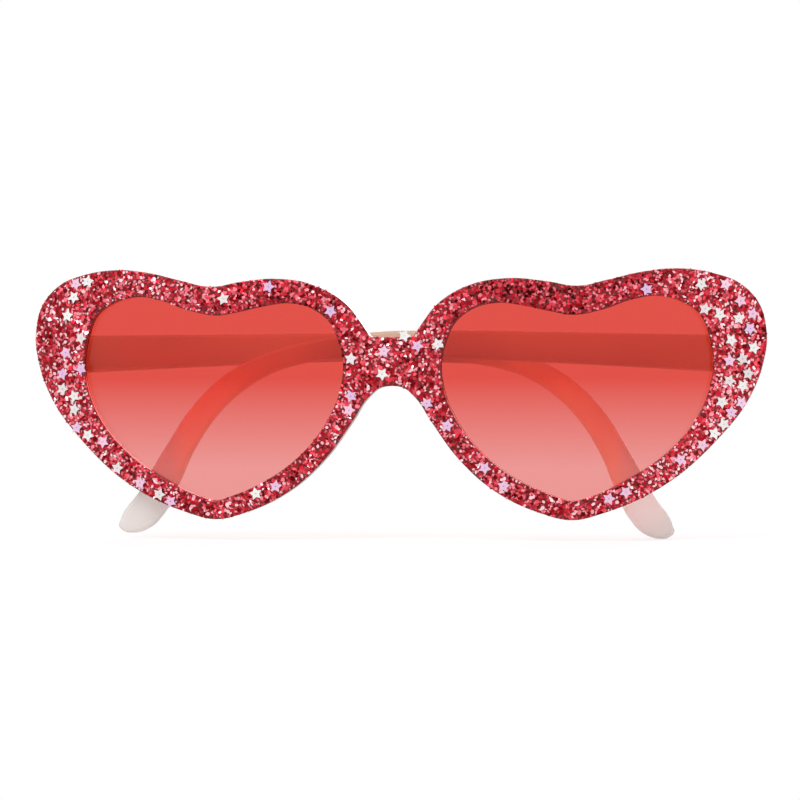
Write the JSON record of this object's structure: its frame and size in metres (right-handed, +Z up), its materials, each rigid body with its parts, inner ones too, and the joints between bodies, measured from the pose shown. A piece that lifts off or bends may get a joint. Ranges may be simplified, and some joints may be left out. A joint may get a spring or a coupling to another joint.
{
  "type": "heart shaped sunglasses",
  "caption": "Heart shaped sunglasses: a wrapped glitter front with star sequins, tinted gradient lenses, and milky side arms that fold behind the front on metal hinges.",
  "frame": {"origin": "top of the nose arch, midway between the hearts, on the front face", "axes": "+Z up as worn, +X towards the wearer's left, -Y forwards, the way the front faces; the side arms are stored folded"},
  "size_m": [0.1492, 0.0258, 0.0546],
  "materials": {
    "frame_plastic": "dark red translucent moulded plastic, smooth",
    "glitter": "coarse red glitter flakes in clear resin",
    "pearl_sequin": "pearl white film",
    "lilac_sequin": "lilac pearl film",
    "tinted_lens": "clear tinted plastic, red at the top to pink at the bottom",
    "milky_plastic": "milky translucent plastic, smooth",
    "hinge_metal": "plated, satin",
    "screw_steel": "bright steel"
  },
  "bodies": {
    "front": {"frame_front": "frame_plastic", "glitter_face": "glitter", "pearl_stars": "pearl_sequin", "lilac_stars": "lilac_sequin", "left_lens": "tinted_lens", "right_lens": "tinted_lens", "left_frame_hinge": "hinge_metal", "right_frame_hinge": "hinge_metal", "left_hinge_screw": "screw_steel", "right_hinge_screw": "screw_steel"},
    "left_arm": {"left_temple": "milky_plastic", "left_temple_hinge": "hinge_metal"},
    "right_arm": {"right_temple": "milky_plastic", "right_temple_hinge": "hinge_metal"}
  },
  "joints": [
    {"name": "left_temple_fold", "type": "hinge", "parent": "front", "child": "left_arm", "pos_m": [0.0682, 0.01956, 0.0071], "axis": [0, -0.1392, -0.9903], "range_deg": [0, 93.2]},
    {"name": "right_temple_fold", "type": "hinge", "parent": "front", "child": "right_arm", "pos_m": [-0.0682, 0.01956, 0.0071], "axis": [0, 0.1392, 0.9903], "range_deg": [0, 89.4]}
  ]
}
